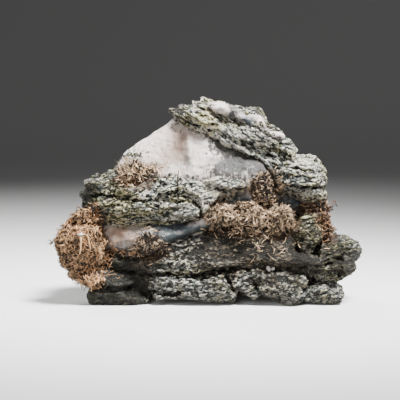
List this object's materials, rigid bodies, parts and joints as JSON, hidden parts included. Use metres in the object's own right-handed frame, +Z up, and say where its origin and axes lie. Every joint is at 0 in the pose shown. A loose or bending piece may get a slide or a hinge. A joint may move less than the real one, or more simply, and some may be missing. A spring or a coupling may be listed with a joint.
{
  "type": "native silver on calcite mineral specimen",
  "caption": "Mineral hand specimen: tan curled wire silver on a white calcite vein between walls of foliated grey-green schist, standing on its own feet.",
  "frame": {"origin": "centre of the bounding box's bottom face, on the plane of the feet", "axes": "+X to the right seen from the side that shows the vein, +Y away from that side, +Z up"},
  "size_m": [0.0904, 0.0442, 0.0607],
  "materials": {
    "schist": "rough foliated grey-green chlorite schist with pale mica flecks and dark pits",
    "fragment_schist": "rough yellow-green crusted schist, blue-grey at its tip",
    "calcite": "massive white to faintly pink calcite, slightly translucent, waxy lustre on broken faces",
    "wire_silver": "curled native silver wires with a tan to copper-pink tarnish"
  },
  "bodies": {
    "root": {"schist_base": "schist", "schist_middle": "schist", "schist_cap": "schist", "schist_fragment": "fragment_schist", "calcite_vein": "calcite", "calcite_cap_seam": "calcite", "silver_moss_left": "wire_silver", "silver_moss_upper": "wire_silver", "silver_moss_centre": "wire_silver", "silver_moss_lower": "wire_silver", "silver_moss_right": "wire_silver"}
  },
  "joints": []
}
